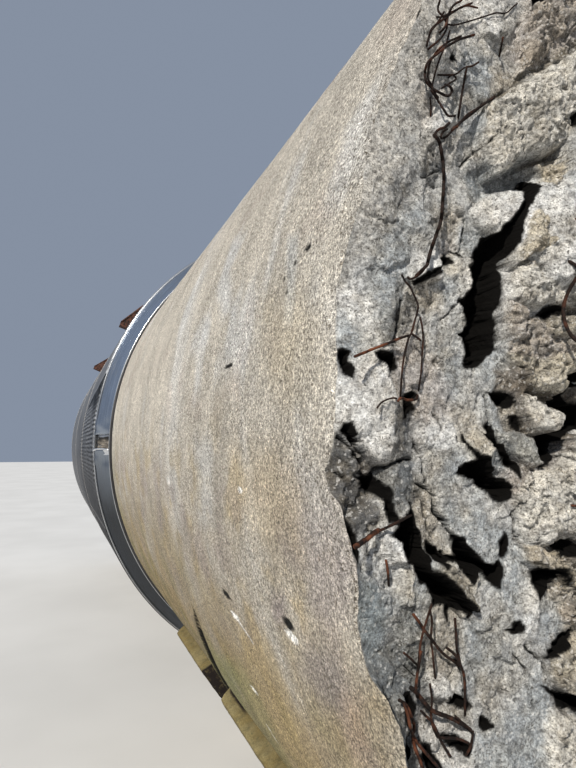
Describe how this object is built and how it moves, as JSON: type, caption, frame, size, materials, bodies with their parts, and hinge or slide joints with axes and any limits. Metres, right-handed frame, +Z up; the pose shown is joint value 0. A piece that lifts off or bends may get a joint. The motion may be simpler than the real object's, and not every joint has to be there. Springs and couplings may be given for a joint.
{
  "type": "conical bottom tank",
  "caption": "Steel process tank lying on its side, its conical bottom cast into a broken-off round concrete plinth, on timber sleepers and wedges.",
  "frame": {"origin": "floor level under the middle of the overall box", "axes": "+Y along the tank's axis from the broken end of the plinth to the top head, +Z up, +X to the right seen from the broken end"},
  "size_m": [3.055, 8.3, 3.1273],
  "materials": {
    "concrete": "rough, weathered",
    "polished_steel": "polished",
    "shell_steel": "satin, rippled",
    "pipe_steel": "satin",
    "fitting_steel": "satin",
    "weld_steel": "dull",
    "rusty_steel": "rusted",
    "weathered_timber": "rough sawn, weathered"
  },
  "bodies": {
    "root": {"plinth_body": "concrete", "broken_end": "concrete", "core_lumps": "concrete", "skin_patches_left": "concrete", "skin_patches_right": "concrete", "cone_bottom": "pipe_steel", "outlet_pipe": "pipe_steel", "lip_ring": "polished_steel", "band_upper": "polished_steel", "band_lower": "polished_steel", "rim_ring": "polished_steel", "course_1_upper": "shell_steel", "course_1_lower": "shell_steel", "course_2_upper": "shell_steel", "course_2_lower": "shell_steel", "course_3_upper": "shell_steel", "course_3_lower": "shell_steel", "girth_welds": "weld_steel", "top_knuckle": "shell_steel", "top_crown": "shell_steel", "manway_neck": "pipe_steel", "manway_flange": "pipe_steel", "manway_cover": "pipe_steel", "manway_bolts": "fitting_steel", "manway_handles": "fitting_steel", "vent_nozzle": "pipe_steel", "vent_flange": "pipe_steel", "inlet_nozzle": "pipe_steel", "inlet_flange": "pipe_steel", "lugs_left": "rusty_steel", "lugs_right": "rusty_steel", "tie_wires": "rusty_steel", "sleeper_front": "weathered_timber", "sleeper_middle": "weathered_timber", "sleeper_rear": "weathered_timber", "shell_plank_near": "weathered_timber", "shell_plank_far": "weathered_timber", "wedges_left": "weathered_timber", "wedges_right": "weathered_timber", "shell_wedges_left": "weathered_timber", "shell_wedges_right": "weathered_timber"}
  },
  "joints": []
}
